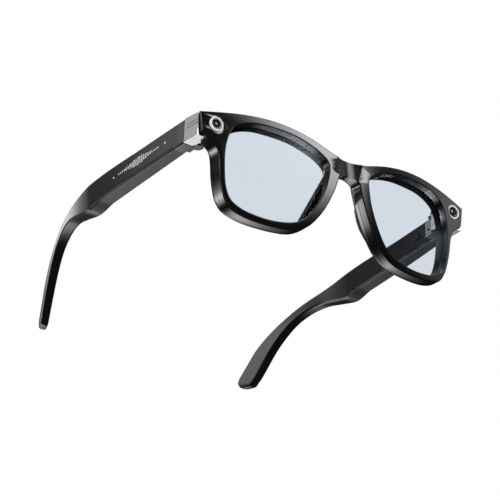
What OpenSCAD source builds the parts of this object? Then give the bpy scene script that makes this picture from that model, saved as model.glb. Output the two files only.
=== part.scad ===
// Smart glasses: a curved front with two lenses, a camera and a capture light at its corners,
// and two hinged temples that hold the electronics. Millimetres, +Z up, the wearer looks along -Y,
// +X is the wearer's left. The origin is on the table, midway between the front and the tips.

/* [Front] */
// Width of one lens opening
lens_w = 50.4; // [46:0.2:58]
// Height of one lens opening
lens_h = 44; // [36:1:50]
// Gap between the two lens openings at the nose
bridge_w = 22; // [17:1:25]
// Height of the bridge
bridge_h = 8; // [6:0.5:9]
// Width of the rim above the lens
rim_top = 3.5; // [2.5:0.1:6]
// Width of the rim below the lens
rim_low = 3.1; // [2.5:0.1:6]
// Width of the rim at the outer side of the lens
rim_side = 3.3; // [2.5:0.1:5]
// How far the brow corner stands out past the rim
corner_out = 8.8; // [7:0.1:11]
// Height of the brow corner at the hinge
corner_h = 10.9; // [9:0.1:13]
// Radius of the front's wrap around the face
wrap_r = 276; // [180:2:500]
// Height of the front's foremost point above the lens centre
wrap_up = 8; // [0:1:12]
// Thickness of the front, both mouldings together
front_t = 7.4; // [6.6:0.1:8]
// How far the back of the rim is rounded in from its outer edge
rear_in = 2; // [1:0.1:2.2]
// Depth of the bridge's front valley
valley_d = 1.7; // [0.8:0.1:2.2]

/* [Lenses] */
// Thickness of a lens
lens_t = 1.8; // [1.2:0.1:2.5]
// How far the lens sits behind the front face
lens_set = 2.3; // [1.5:0.1:2.6]
// How far the rim covers the lens edge
lens_lap = 0.8; // [0.4:0.1:1.2]
// Play around the lens in its seat
lens_play = 0.05; // [0.02:0.01:0.1]

/* [Camera and light] */
// Outer radius of the bright ring
ring_r = 3.35; // [2.8:0.05:3.6]
// Width of the bright ring
ring_w = 0.85; // [0.5:0.05:1.2]
// Radius of the dished seat around the camera
dish_r = 5; // [4.2:0.1:5.5]
// Distance of the ring's centre in from the brow corner
ring_in = 7.5; // [6.5:0.1:9]
// Distance of the ring's centre below the brow corner
ring_down = 4.9; // [4:0.1:6]

/* [Temples] */
// Height of the temple's straight part
temple_h = 12; // [10:0.5:14]
// Thickness of the temple's straight part
temple_t = 6; // [5.6:0.1:8]
// Length of the straight part that holds the electronics
grip_len = 74; // [72:1:90]
// Length from the hinge to the end of the tip
temple_len = 146; // [130:1:175]
// How far the temple's outer face bows out
temple_bow = 1.4; // [0:0.1:2]
// Downward slope of the temple in degrees
slope = 3.2; // [0:0.1:6]
// Outward splay of the temple in degrees
splay = 2.2; // [0:0.1:4]
// How far the tip curves in towards the head
tip_in = 16.7; // [10:0.1:22]
// Length of the tip's rounded foot
tip_w = 9.6; // [8:0.1:12]
// Wall of the temple's shell
wall = 1.1; // [0.8:0.1:1.3]
// Thickness of the cover under the temple
cover_t = 1.2; // [0.8:0.1:1.6]

/* [Hinges] */
// Length of the metal endpiece
endpiece_len = 10.2; // [8:0.1:14]
// Thickness of the metal endpiece
endpiece_t = 5.4; // [4.8:0.1:5.6]
// Radius of the hinge knuckles
knuckle_r = 2.1; // [1.6:0.1:2.4]
// Radius of the hinge pin
pin_r = 0.7; // [0.5:0.05:1]
// Radial play of the pin in its knuckles
pin_play = 0.05; // [0.02:0.01:0.1]
// Gap between the temple and the endpiece
joint_gap = 0.3; // [0.2:0.05:0.6]

/* [Controls] */
// Length of the capture button
button_len = 9; // [6:0.5:12]
// Width of the capture button
button_w = 2.8; // [2:0.1:3]
// Travel of the capture button
button_travel = 0.4; // [0.2:0.05:0.6]
// Travel of the power slider
slider_travel = 1.9; // [1:0.1:2.5]
// Play around the button and the slider
control_play = 0.2; // [0.1:0.05:0.3]

/* [Hidden] */
$fn = 48;

right = -1;
left = 1;
black = [0.03, 0.03, 0.035];
silver = [0.72, 0.72, 0.74];
steel = [0.6, 0.6, 0.62];
tint = [0.78, 0.82, 0.86, 0.5];
gold = [0.85, 0.68, 0.32];
board_green = [0.05, 0.3, 0.2];

// The front's outline, seen along Y: x sideways, z up, half of it
rim_hw = lens_w / 2 + rim_side;
rim_up = lens_h / 2 + rim_top;
rim_dn = lens_h / 2 + rim_low;
lens_cx = (bridge_w + lens_w) / 2;
lens_cz = rim_dn;
crease_x = bridge_w / 2 - 3.2;
corner_x = lens_cx + rim_hw + corner_out;
corner_z = lens_cz + 0.85 * rim_up;
bridge_top = lens_cz + 0.715 * rim_up;
arch_top = bridge_top - bridge_h;
curve_steps = 4;

// The lens opening as shares of its half width and half height, from the nose outwards
lens_shape = [[-1, 0.43], [-0.95, 0.08], [-0.865, -0.2], [-0.75, -0.46], [-0.61, -0.7], [-0.45, -0.86],
    [-0.25, -0.95], [0.05, -1], [0.36, -0.985], [0.65, -0.91], [0.85, -0.76], [0.95, -0.5],
    [0.99, -0.15], [1, 0.21], [0.97, 0.48], [0.9, 0.7], [0.78, 0.86], [0.52, 0.975], [0.2, 1],
    [-0.26, 0.96], [-0.65, 0.83], [-0.88, 0.69], [-0.975, 0.58]];
// The outer rim below the brow corner, as shares of the rim's half width and lower half height
rim_shape = [[1.03, 0.22], [0.985, 0.05], [0.955, -0.25], [0.91, -0.5], [0.85, -0.69], [0.73, -0.86],
    [0.47, -0.965], [0.12, -1], [-0.23, -0.98], [-0.43, -0.91], [-0.61, -0.755], [-0.78, -0.5],
    [-0.89, -0.265], [-0.985, -0.01], [-1.04, 0.18]];
// The brow line, as shares of the rim's half width and upper half height
brow_shape = [[-0.92, 0.74], [-0.58, 0.87], [-0.23, 0.96], [0.12, 1], [0.47, 0.99], [0.81, 0.946]];

// The hinge: one upright pin at each side, inside the temple's inner face
wrap_z = lens_cz + wrap_up;
front_edge_y = front_y(crease_x, wrap_z);
corner_y = front_y(corner_x, corner_z);
endpiece_y = corner_y + 1.2;
hinge_y = endpiece_y + endpiece_len;
out_x = corner_x + 0.5;
in_x = out_x - temple_t;
pin_x = in_x - 1.4;
hinge_top = corner_z + 0.8;
ear_r = knuckle_r + 0.5;
knuckle_z0 = hinge_top - temple_h + 1.7;
knuckle_z1 = hinge_top - 1.7;
knuckle_band = (knuckle_z1 - knuckle_z0) / 3;
knuckle_gap = 0.1;

// The temple, seen from the side: y backwards, z up
tip_y = hinge_y + temple_len;
hook_y = hinge_y + grip_len;
hook_len = tip_y - hook_y;
tip_back_r = 3.5;
tip_front_r = 2.6;
hook_top_shape = [[0.14, 0.968], [0.285, 0.929], [0.43, 0.874], [0.57, 0.784], [0.71, 0.649],
    [0.84, 0.472], [0.93, 0.275]];
hook_low_shape = [[0.835, 0.11], [0.708, 0.43], [0.575, 0.645], [0.44, 0.745], [0.29, 0.775],
    [0.135, 0.734]];
bulge = 1.2;
// The temple, seen from above: shares of the hook's length and of the tip's inward reach, thickness
hook_plan = [[0, 0, 1], [0.26, 0.07, 0.94], [0.55, 0.33, 0.86], [0.79, 0.66, 0.77], [0.93, 0.886, 0.7],
    [1.02, 1.03, 0.67]];
mid_y = (front_edge_y + tip_y) / 2;

// Places along the temple's straight part, measured from the hinge
cavity_y0 = 9;
cavity_y1 = grip_len - 4;
board_y = cavity_y0 + 4;
board_len = 24;
battery_y = board_y + board_len + 1;
speaker_len = 8;
speaker_y = cavity_y1 - speaker_len - 0.5;
button_y = cavity_y0 + 13;
slider_y = cavity_y0 + 6;
slider_len = 3.8;
slider_h = 2;
core_w = 1.4;

// How far back the front's face lies at a place on it
function front_y(x, z) = wrap_r - sqrt(wrap_r * wrap_r - x * x - pow(z - wrap_z, 2));
// Smooth curve through points: b to c, shaped by their neighbours a and d
function blend(a, b, c, d, t) = (2 * b + (c - a) * t + (2 * a - 5 * b + 4 * c - d) * t * t
    + (3 * b - a - 3 * c + d) * t * t * t) / 2;
function open_curve(p) = let (m = len(p) - 1) concat(
    [for (i = [0:m - 1]) for (k = [0:curve_steps - 1])
        blend(p[max(i - 1, 0)], p[i], p[i + 1], p[min(i + 2, m)], k / curve_steps)],
    [p[m]]);
function closed_curve(p) = let (m = len(p)) [for (i = [0:m - 1]) for (k = [0:curve_steps - 1])
    blend(p[(i + m - 1) % m], p[i], p[(i + 1) % m], p[(i + 2) % m], k / curve_steps)];
function arc(c, r, a0, a1, n) = [for (k = [0:n]) let (a = a0 + (a1 - a0) * k / n)
    c + r * [cos(a), sin(a)]];
function reversed(p) = [for (i = [len(p) - 1:-1:0]) p[i]];
function flipped(p) = [for (q = p) [-q[0], q[1]]];
function mirrored(p) = reversed(flipped(p));

function opening(grow) = closed_curve([for (p = lens_shape)
    [lens_cx + p[0] * (lens_w / 2 + grow), lens_cz + p[1] * (lens_h / 2 + grow)]]);
// The outer outline, drawn in by some distance
function brow_line(in = 0) = open_curve(concat([[crease_x, bridge_top - in]],
    [for (p = brow_shape) [lens_cx + p[0] * (rim_hw - in), lens_cz + p[1] * (rim_up - in)]],
    [[corner_x - in, corner_z - in]]));
function rim_line(in = 0) = open_curve(concat(
    [[corner_x - 1.3 - in, corner_z - corner_h + 1.2], [corner_x - 2.2 - in, corner_z - corner_h + in],
        [corner_x - 4.2 - in, corner_z - corner_h - 1.3 + in]],
    [for (p = rim_shape) [lens_cx + p[0] * (rim_hw - in), lens_cz + p[1] * (rim_dn - in)]],
    [[bridge_w / 2 - 5.7 + in, arch_top - 2 + in], [2.5 + in, arch_top - 0.5 + in], [0, arch_top + in]]));
function half_face(in) = concat([[0, bridge_top - in]], brow_line(in), rim_line(in));
function face(in = 0) = let (half = half_face(in))
    concat(half, mirrored([for (i = [1:len(half) - 2]) half[i]]));
function flex_line(drop) = [for (p = brow_line()) if (p[0] < corner_x - ring_in - ring_r) p - [0, drop]];

function top_z(y) = hinge_top - tan(slope) * (y - hinge_y);
function hook_point(p) = [hook_y + p[0] * hook_len, p[1] * top_z(hook_y)];
function temple_side() = let (y0 = hinge_y + joint_gap / 2) concat(
    [[y0, top_z(y0)]],
    open_curve(concat([[hook_y, top_z(hook_y)]], [for (p = hook_top_shape) hook_point(p)],
        [[tip_y, tip_back_r + 1]])),
    arc([tip_y - tip_back_r, tip_back_r], tip_back_r, 0, -90, 6),
    arc([tip_y - tip_w + tip_front_r, tip_front_r], tip_front_r, -90, -165, 5),
    open_curve(concat([for (p = hook_low_shape) hook_point(p)],
        [[hook_y + 1, top_z(hook_y + 1) - temple_h - bulge],
            [hook_y - 4, top_z(hook_y - 4) - temple_h - bulge],
            [hook_y - 11, top_z(hook_y - 11) - temple_h]])),
    [[y0, top_z(y0) - temple_h]]);
function plan_x(y) = out_x + tan(splay) * (y - hinge_y);
// The outer face bows out between the hinge and the first part of the hook
bow_len = 0.74 * temple_len;
bow_steps = 10;
function bow(y) = temple_bow * sin(180 * min(1, (y - hinge_y) / bow_len));
function hook_edge(inner) = open_curve([for (p = hook_plan) let (y = hook_y + p[0] * hook_len)
    [plan_x(hook_y) - p[1] * tip_in - inner * p[2] * temple_t + (1 - inner) * bow(y), y]]);
function outer_edge() = concat(
    [for (k = [0:bow_steps - 1]) let (y = hinge_y + grip_len * k / bow_steps) [plan_x(y) + bow(y), y]],
    hook_edge(0));
function temple_plan() = concat(outer_edge(), reversed(hook_edge(1)), [[plan_x(hinge_y) - temple_t, hinge_y]]);

// Frames of reference
module place() {
    translate([0, -mid_y, 0]) children();
}
module on_side(side) {
    if (side == left) children();
    else mirror([1, 0, 0]) children();
}
module at_temple() {
    translate([out_x, hinge_y, hinge_top]) rotate([-slope, 0, -splay]) children();
}
module post(r, z0, z1) {
    translate([pin_x, hinge_y, z0]) cylinder(r = r, h = z1 - z0);
}
module block(low, high) {
    translate(low) cube(high - low);
}
// A bar along Y with a round outline, from y0 to y1
module disc(x, z, r, y0, y1) {
    translate([x, y0, z]) rotate([-90, 0, 0]) cylinder(r = r, h = y1 - y0);
}
// An outline seen along Y, made solid through the front's whole depth
module prism(points) {
    translate([0, 40, 0]) rotate([90, 0, 0]) linear_extrude(60) polygon(points);
}
// The space between two depths behind the front's curved face
module slab(d0, d1) {
    translate([0, wrap_r, wrap_z]) difference() {
        sphere(r = wrap_r - d0, $fn = 360);
        sphere(r = wrap_r - d1, $fn = 360);
    }
}

// Front
split_d = lens_set + lens_t;
ring_x = corner_x - ring_in;
ring_z = corner_z - ring_down;
ring_y = front_y(ring_x, ring_z);
ring_seat = ring_y + 0.7;
module endpiece_room() {
    block([out_x - endpiece_t, corner_y + 0.7, hinge_top - temple_h - 4],
        [out_x + 5, hinge_y, hinge_top + 4]);
}
module valley() {
    half_chord = crease_x - 1.3;
    r = (half_chord * half_chord + valley_d * valley_d) / (2 * valley_d);
    translate([0, valley_d - r, bridge_top - bridge_h / 2]) rotate([-10, 0, 0])
        translate([0, 0, -40]) cylinder(r = r, h = 80, $fn = 96);
}
// The ribbon's band under the brow line, from one ring to the other
module flex_band(high, low) {
    prism(concat(mirrored(flex_line(high)), flex_line(high),
        reversed(flex_line(low)), flipped(flex_line(low))));
}
module mic_room(play) {
    block([-1.6 - play, split_d + 0.25 - play, bridge_top - 4.4 - play],
        [1.6 + play, split_d + 1.1 + play, bridge_top - 2 + play]);
}
module rim_front() {
    color(black) place() difference() {
        intersection() {
            prism(face());
            slab(0, split_d);
        }
        valley();
        for (side = [right, left]) on_side(side) {
            prism(opening(0));
            intersection() {
                prism(opening(lens_lap));
                slab(lens_set, split_d + 1);
            }
            endpiece_room();
            disc(ring_x, ring_z, ring_r - ring_w + 0.2, -5, 30);
            disc(ring_x, ring_z, ring_r + 0.05, -5, ring_seat + 0.6);
        }
        on_side(right) translate([ring_x, ring_seat, ring_z]) rotate([90, 0, 0])
            cylinder(r1 = dish_r - 0.8, r2 = dish_r + 1.5, h = 5);
        intersection() {
            flex_band(0.8, 2);
            slab(split_d - 1, split_d + 1);
        }
    }
}
// The back half is rounded towards the wearer in two steps
module rim_back() {
    step_d = (split_d + front_t) / 2;
    color(black) place() difference() {
        union() {
            intersection() {
                prism(face(rear_in / 3));
                slab(split_d, step_d);
            }
            intersection() {
                prism(face(rear_in));
                slab(step_d - 0.1, front_t);
            }
        }
        for (side = [right, left]) on_side(side) {
            prism(opening(0));
            endpiece_room();
            disc(ring_x, ring_z, ring_r - ring_w + 0.2, -5, ring_y + split_d + 0.9);
        }
        for (side = [right, left]) on_side(side) nose_fin();
        pad_block(front_t - pad_root);
        mic_room(0.05);
        translate([0, split_d + 0.6, arch_top - 2]) cylinder(r = 0.4, h = bridge_h - 1);
    }
}
module lens(side) {
    color(tint) place() on_side(side) intersection() {
        prism(opening(lens_lap - lens_play));
        slab(lens_set, split_d);
    }
}
// A moulded pad: a low rounded fin behind the nose side of the rim, rooted in the rim's back
fin_r = 1.2;
module nose_fin() {
    // Each ball of the fin: distance in from the rim's edge, height, distance behind the rim's back
    balls = [[lens_cx - 0.99 * rim_hw + 1.6, lens_cz + 0.14 * rim_dn, 0],
        [lens_cx - 0.87 * rim_hw + 1.6, lens_cz - 0.17 * rim_dn, 0],
        [lens_cx - 0.72 * rim_hw + 1.6, lens_cz - 0.5 * rim_dn, 0],
        [lens_cx - 0.87 * rim_hw + 1.8, lens_cz - 0.17 * rim_dn, 2.2],
        [lens_cx - 0.72 * rim_hw + 1.6, lens_cz - 0.46 * rim_dn, 1.2]];
    hull() for (b = balls)
        translate([b[0], front_y(b[0], b[1]) + front_t + b[2], b[1]]) sphere(r = fin_r, $fn = 20);
}
module nose_pad(side) {
    color(black) place() on_side(side) nose_fin();
}

// Camera, behind the ring at the wearer's right
module ring(side) {
    color("white") place() on_side(side) difference() {
        disc(ring_x, ring_z, ring_r, ring_seat - 1, ring_seat + 0.5);
        disc(ring_x, ring_z, ring_r - ring_w, ring_seat - 2, ring_seat + 2);
    }
}
module window(side, shade) {
    color(shade) place() on_side(side)
        disc(ring_x, ring_z, ring_r - ring_w - 0.02, ring_seat - 0.7, ring_seat);
}
module camera_barrel() {
    color(black) place() on_side(right) difference() {
        disc(ring_x, ring_z, ring_r - ring_w - 0.1, ring_seat + 0.05, ring_seat + 3);
        disc(ring_x, ring_z, 1.1, ring_seat, ring_seat + 0.9);
    }
}
module camera_board() {
    color(board_green) place() on_side(right)
        disc(ring_x, ring_z, ring_r - ring_w - 0.1, ring_seat + 3.05, ring_seat + 3.85);
}
module light_guide() {
    color("white") place() on_side(left)
        disc(ring_x, ring_z, ring_r - ring_w - 0.1, ring_seat + 0.05, ring_seat + 2.4);
}
module light_board() {
    color(board_green) place() on_side(left)
        disc(ring_x, ring_z, ring_r - ring_w - 0.1, ring_seat + 2.45, ring_seat + 3.25);
}
module brow_flex() {
    color(gold) place() intersection() {
        flex_band(0.9, 1.9);
        slab(split_d - 0.9, split_d - 0.2);
    }
}
module bridge_mic() {
    color(steel) place() mic_room(0);
}

// Charging pad behind the bridge: an insulating block with two contacts level with its flat face
pad_w = 12;
pad_h = 3.6;
pad_root = 0.7;
pad_y = front_t + 0.9;
pad_z = bridge_top - bridge_h / 2;
contact_x = 3.2;
module pad_block(y0) {
    block([-pad_w / 2, y0, pad_z - pad_h / 2], [pad_w / 2, pad_y, pad_z + pad_h / 2]);
}
module charge_pad() {
    color(black) place() difference() {
        pad_block(front_t - pad_root);
        for (x = [-contact_x, contact_x]) disc(x, pad_z, 1.05, pad_y - 1, pad_y + 1);
    }
}
module charge_contacts() {
    color(gold) place() for (x = [-contact_x, contact_x]) disc(x, pad_z, 1, pad_y - 1, pad_y);
}

// Endpieces and the front half of the hinges
leaf_t = 1.7;
leaf_y0 = front_y(out_x - endpiece_t, ring_z) + front_t + 0.3;
leaf_y1 = hinge_y - ear_r - 0.4;
screw_r = 0.6;
leaf_screw_z = [hinge_top - temple_h * 0.3, hinge_top - temple_h * 0.7];
// The metal endpiece widens from the brow corner to the full temple
module endpiece(side) {
    y1 = hinge_y - joint_gap / 2;
    low_z = hinge_top - temple_h;
    color(silver) place() on_side(side) difference() {
        intersection() {
            translate([0, 0, low_z]) linear_extrude(hinge_top - low_z) polygon([[out_x - endpiece_t, endpiece_y],
                [corner_x, endpiece_y], [out_x, y1], [out_x - endpiece_t, y1]]);
            translate([out_x - 20, 0, 0]) rotate([90, 0, 90]) linear_extrude(40)
                polygon([[endpiece_y, corner_z], [y1, hinge_top], [y1, low_z], [endpiece_y, low_z]]);
        }
        post(ear_r + 0.3, 0, hinge_top + 10);
        for (drop = [4, 5.6]) translate([corner_x, endpiece_y, hinge_top - drop])
            rotate([0, 0, -atan((out_x - corner_x) / (y1 - endpiece_y))])
                block([-0.4, -1, -0.2], [2, endpiece_len - 2, 0.2]);
        for (z = leaf_screw_z) translate([out_x - endpiece_t - 1, (leaf_y0 + leaf_y1) / 2, z])
            rotate([0, 90, 0]) cylinder(r = screw_r, h = 3);
    }
}
module hinge_leaf(side) {
    z0 = knuckle_z0 + knuckle_band + knuckle_gap;
    z1 = knuckle_z1 - knuckle_band - knuckle_gap;
    x1 = out_x - endpiece_t;
    color(silver) place() on_side(side) difference() {
        union() {
            block([x1 - leaf_t, leaf_y0, knuckle_z0 - 1], [x1, leaf_y1, knuckle_z1 + 1]);
            block([x1 - leaf_t, leaf_y1 - 0.1, z0], [x1, hinge_y, z1]);
            post(knuckle_r, z0, z1);
        }
        post(pin_r + pin_play, 0, hinge_top + 10);
        for (z = leaf_screw_z) translate([x1 - leaf_t - 1, (leaf_y0 + leaf_y1) / 2, z])
            rotate([0, 90, 0]) cylinder(r = screw_r, h = 5);
    }
}
module endpiece_screws() {
    x1 = out_x - endpiece_t;
    color(steel) place() for (side = [right, left]) on_side(side) for (z = leaf_screw_z)
        translate([x1 - leaf_t - 0.5, (leaf_y0 + leaf_y1) / 2, z]) rotate([0, 90, 0]) {
            cylinder(r = 1, h = 0.5);
            cylinder(r = screw_r, h = leaf_t + 2.3);
        }
}

// Temples
module temple_solid() {
    intersection() {
        translate([out_x - 60, 0, 0]) rotate([90, 0, 90]) linear_extrude(90) polygon(temple_side());
        linear_extrude(hinge_top + 20) polygon(temple_plan());
    }
}
module cover_room(play) {
    at_temple() block([-temple_t - 10, cavity_y0 - 1 - play, -temple_h - 10],
        [10, cavity_y1 + 2 + play, -temple_h + cover_t]);
}
module cavity() {
    at_temple() block([-temple_t + wall, cavity_y0, -temple_h - 1], [-wall, cavity_y1, -wall]);
}
// The band of the steel core, along the middle of the tip
core_mid = [for (i = [0:5]) hook_point((hook_top_shape[i] + hook_low_shape[5 - i]) / 2)];
function core_side() = concat(open_curve([for (p = core_mid) p + core_w * [0.25, 0.43]]),
    reversed(open_curve([for (p = core_mid) p - core_w * [0.25, 0.43]])));
module core_bar() {
    intersection() {
        translate([out_x - 60, 0, 0]) rotate([90, 0, 90]) linear_extrude(90) polygon(core_side());
        linear_extrude(hinge_top + 20) polygon(concat(hook_core(-0.5), reversed(hook_core(0.5))));
    }
}
function hook_core(off) = open_curve([for (p = hook_plan)
    [plan_x(hook_y) - p[1] * tip_in - p[2] * temple_t / 2 + off, hook_y + p[0] * hook_len]]);
module button_shape(grow, z0, z1) {
    at_temple() translate([-temple_t / 2, button_y, z0]) {
        for (y = [-1, 1]) translate([0, y * (button_len - button_w) / 2, 0])
            cylinder(r = button_w / 2 + grow, h = z1 - z0);
        translate([-button_w / 2 - grow, -(button_len - button_w) / 2, 0])
            cube([button_w + 2 * grow, button_len - button_w, z1 - z0]);
    }
}
slider_z = -temple_h / 2;
module slider_slot() {
    at_temple() block([-temple_t - 5, slider_y - control_play, slider_z - slider_h / 2 - control_play],
        [-temple_t + wall + 1, slider_y + slider_len + slider_travel + control_play,
            slider_z + slider_h / 2 + control_play]);
}
// The hood round the hinge pin: an ear above and an ear below the knuckles
module ears() {
    for (z = [[hinge_top - temple_h + 0.1, knuckle_z0 - 0.05], [knuckle_z1 + 0.05, hinge_top - 0.2]]) {
        post(ear_r, z[0], z[1]);
        block([pin_x, hinge_y + joint_gap / 2, z[0]], [in_x + 0.4, hinge_y + 6, z[1]]);
    }
}
module temple_shell(side) {
    color(black) place() on_side(side) difference() {
        union() {
            temple_solid();
            ears();
        }
        cavity();
        cover_room(0);
        core_bar();
        post(knuckle_r + 0.02, knuckle_z0, knuckle_z1);
        post(knuckle_r + 0.3, knuckle_z0 + knuckle_band, knuckle_z1 - knuckle_band);
        post(pin_r + 0.02, 0, knuckle_z1 + 0.8);
        post(pin_r + 0.6, 0, hinge_top - temple_h + 0.8);
        at_temple() for (y = temple_screw_y) translate([-temple_t - 1, y, slider_z])
            rotate([0, 90, 0]) cylinder(r = screw_r, h = 3.2);
        at_temple() block([-0.5 - temple_t + wall, cavity_y1 - speaker_len, -temple_h - 1],
            [-wall, cavity_y1 - 1, -temple_h + 3]);
        if (side == right) button_shape(control_play, -wall - 1, 5);
        if (side == left) slider_slot();
    }
}
module temple_cover(side) {
    color([0.08, 0.08, 0.085]) place() on_side(side) difference() {
        intersection() {
            temple_solid();
            cover_room(-0.05);
        }
        mesh_room(0.02);
    }
}
module mesh_room(play) {
    at_temple() block([-temple_t + wall + 0.6 - play, speaker_y + 0.8 - play, -temple_h - 3],
        [-wall - 0.6 + play, speaker_y + speaker_len - 0.8 + play, -temple_h + cover_t + 1]);
}
module speaker_mesh(side) {
    holes = 4;
    pitch = (speaker_len - 2.4) / holes;
    color(steel) place() on_side(side) difference() {
        intersection() {
            mesh_room(0);
            cover_room(0);
            at_temple() block([-temple_t, 0, -temple_h + 0.3], [0, grip_len, 0]);
        }
        at_temple() for (i = [0:holes - 1]) for (x = [-0.8, 0, 0.8])
            translate([-temple_t / 2 + x, speaker_y + 1.2 + (i + 0.5) * pitch, -temple_h - 3])
                cylinder(r = 0.25, h = 8, $fn = 16);
    }
}
temple_screw_y = [3.4, 6.6];
module temple_hinge(side) {
    color(silver) place() on_side(side) difference() {
        union() {
            post(knuckle_r, knuckle_z0, knuckle_z0 + knuckle_band - knuckle_gap);
            post(knuckle_r, knuckle_z1 - knuckle_band + knuckle_gap, knuckle_z1);
            at_temple() block([-temple_t - 1.2, 0.4, slider_z - 4], [-temple_t, 8.4, slider_z + 4]);
        }
        post(pin_r + pin_play, 0, hinge_top + 10);
        post(knuckle_r + 0.3, knuckle_z0 + knuckle_band - knuckle_gap,
            knuckle_z1 - knuckle_band + knuckle_gap);
        temple_solid();
        ears();
        at_temple() for (y = temple_screw_y) translate([-temple_t - 3, y, slider_z])
            rotate([0, 90, 0]) cylinder(r = screw_r, h = 5);
    }
}
module hinge_pin(side) {
    color(steel) place() on_side(side) {
        post(pin_r, hinge_top - temple_h + 0.3, knuckle_z1 + 0.7);
        post(pin_r + 0.5, hinge_top - temple_h + 0.15, hinge_top - temple_h + 0.75);
    }
}
module temple_screws(side) {
    color(steel) place() on_side(side) at_temple() for (y = temple_screw_y)
        translate([-temple_t - 1.7, y, slider_z]) rotate([0, 90, 0]) {
            cylinder(r = 1, h = 0.5);
            cylinder(r = screw_r, h = 3.6);
        }
}
module battery(side) {
    color("silver") place() on_side(side) at_temple()
        block([-temple_t + wall + 0.3, battery_y, -temple_h + cover_t + 0.3],
            [-wall - 0.4, speaker_y - 1, -wall - 0.9]);
}
module speaker(side) {
    color(steel) place() on_side(side) at_temple()
        block([-temple_t + wall + 0.2, speaker_y, -temple_h + cover_t + 0.1],
            [-wall - 0.2, speaker_y + speaker_len, -temple_h + cover_t + 5]);
}
module tip_core(side) {
    color(steel) place() on_side(side) core_bar();
}
module temple_mic(side) {
    color(steel) place() on_side(side) at_temple()
        block([-temple_t + wall + 0.6, cavity_y0 + 0.4, -temple_h + cover_t + 0.1],
            [-wall - 0.6, cavity_y0 + 3, -temple_h + cover_t + 1.2]);
}
// A circuit board with a few chips on its inner side
module board(side) {
    board_x = -wall - 1.3;
    board_z0 = -temple_h + cover_t + 1;
    board_z1 = -wall - 2.2;
    color(board_green) place() on_side(side) at_temple() {
        block([board_x, board_y, board_z0], [board_x + 0.8, board_y + board_len, board_z1]);
        block([board_x - 0.8, board_y + board_len - 10, board_z0 + 1.2],
            [board_x, board_y + board_len - 4, board_z1 - 0.6]);
        block([board_x - 0.6, board_y + board_len - 3, board_z0 + 1.5],
            [board_x, board_y + board_len - 0.5, board_z0 + 4.5]);
    }
}
module touch_sensor() {
    color(gold) place() on_side(right) at_temple()
        block([-wall - 0.3, board_y, slider_z - 3.2], [-wall - 0.1, board_y + board_len, slider_z + 3]);
}

// Sound-wave decoration on the wearer's right temple: a row of bars between two dots
wave_y = 33.9;
wave_pitch = 1.5;
wave_bars = 10;
wave_h = 4.4;
wave_w = 0.5;
wave_t = 0.1;
wave_z = slider_z + 0.3;
function wave_bar(i) = 0.8 + (wave_h - 0.8) * exp(-pow(i / 4.6, 2)) * (i % 2 == 0 ? 1 : 0.8);
module wave_marks() {
    outer = outer_edge();
    color("white") place() on_side(right) intersection() {
        linear_extrude(hinge_top) polygon(concat(outer, reversed([for (p = outer) p + [wave_t, 0]])));
        at_temple() {
            for (i = [-wave_bars:wave_bars])
                block([-1, wave_y + i * wave_pitch - wave_w / 2, wave_z - wave_bar(i) / 2],
                    [4, wave_y + i * wave_pitch + wave_w / 2, wave_z + wave_bar(i) / 2]);
            for (y = [-20, 19]) translate([-1, wave_y + y, wave_z]) rotate([0, 90, 0])
                cylinder(r = 0.45, h = 5);
        }
    }
}

// Capture button on top of the right temple, and the switch under it
module capture_button() {
    color([0.1, 0.1, 0.11]) place() on_side(right) {
        button_shape(0, -wall - 0.2, 0.5);
        button_shape(0.3, -wall - 0.7, -wall - 0.1);
    }
}
module button_switch() {
    top = -wall - 0.8 - button_travel;
    color(steel) place() on_side(right) at_temple()
        block([-temple_t + wall + 0.2, button_y - 1.8, top - 1.4], [-wall - 1.5, button_y + 1.8, top]);
}

// Power slider on the inner side of the left temple, and the switch behind it
module power_slider() {
    z0 = slider_z - slider_h / 2;
    z1 = slider_z + slider_h / 2;
    color([0.1, 0.1, 0.11]) place() on_side(left) at_temple() {
        block([-temple_t - 0.5, slider_y, z0], [-temple_t + wall + 0.2, slider_y + slider_len, z1]);
        block([-temple_t + wall + 0.1, slider_y - 1, z0 - 0.8],
            [-temple_t + wall + 0.6, slider_y + slider_len + 1, z1 + 0.8]);
    }
}
module power_switch() {
    color(steel) place() on_side(left) at_temple()
        block([-temple_t + wall + 0.8, slider_y - 1, slider_z - 1.6],
            [-wall - 1.6, slider_y + slider_len + slider_travel, slider_z + 1.6]);
}

rim_front();
rim_back();
lens(right);  // lens_right
lens(left);  // lens_left
nose_pad(right);  // nose_pad_right
nose_pad(left);  // nose_pad_left
ring(right);  // camera_ring
window(right, black);  // camera_window
camera_barrel();
camera_board();
ring(left);  // light_ring
window(left, black);  // light_window
light_guide();
light_board();
endpiece(right);  // endpiece_right
endpiece(left);  // endpiece_left
hinge_leaf(right);  // hinge_leaf_right
hinge_leaf(left);  // hinge_leaf_left
endpiece_screws();
brow_flex();
bridge_mic();
charge_pad();
charge_contacts();
temple_shell(right);  // temple_shell_right
temple_shell(left);  // temple_shell_left
temple_cover(right);  // temple_cover_right
temple_cover(left);  // temple_cover_left
temple_hinge(right);  // temple_hinge_right
temple_hinge(left);  // temple_hinge_left
hinge_pin(right);  // hinge_pin_right
hinge_pin(left);  // hinge_pin_left
temple_screws(right);  // temple_screws_right
temple_screws(left);  // temple_screws_left
battery(right);  // battery_right
battery(left);  // battery_left
speaker(right);  // speaker_right
speaker(left);  // speaker_left
speaker_mesh(right);  // speaker_mesh_right
speaker_mesh(left);  // speaker_mesh_left
tip_core(right);  // tip_core_right
tip_core(left);  // tip_core_left
temple_mic(right);  // temple_mic_right
temple_mic(left);  // temple_mic_left
board(right);  // main_board
board(left);  // power_board
touch_sensor();
wave_marks();
button_switch();
capture_button();
power_switch();
power_slider();
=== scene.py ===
import math

import bpy
from mathutils import Matrix, Vector


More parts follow.
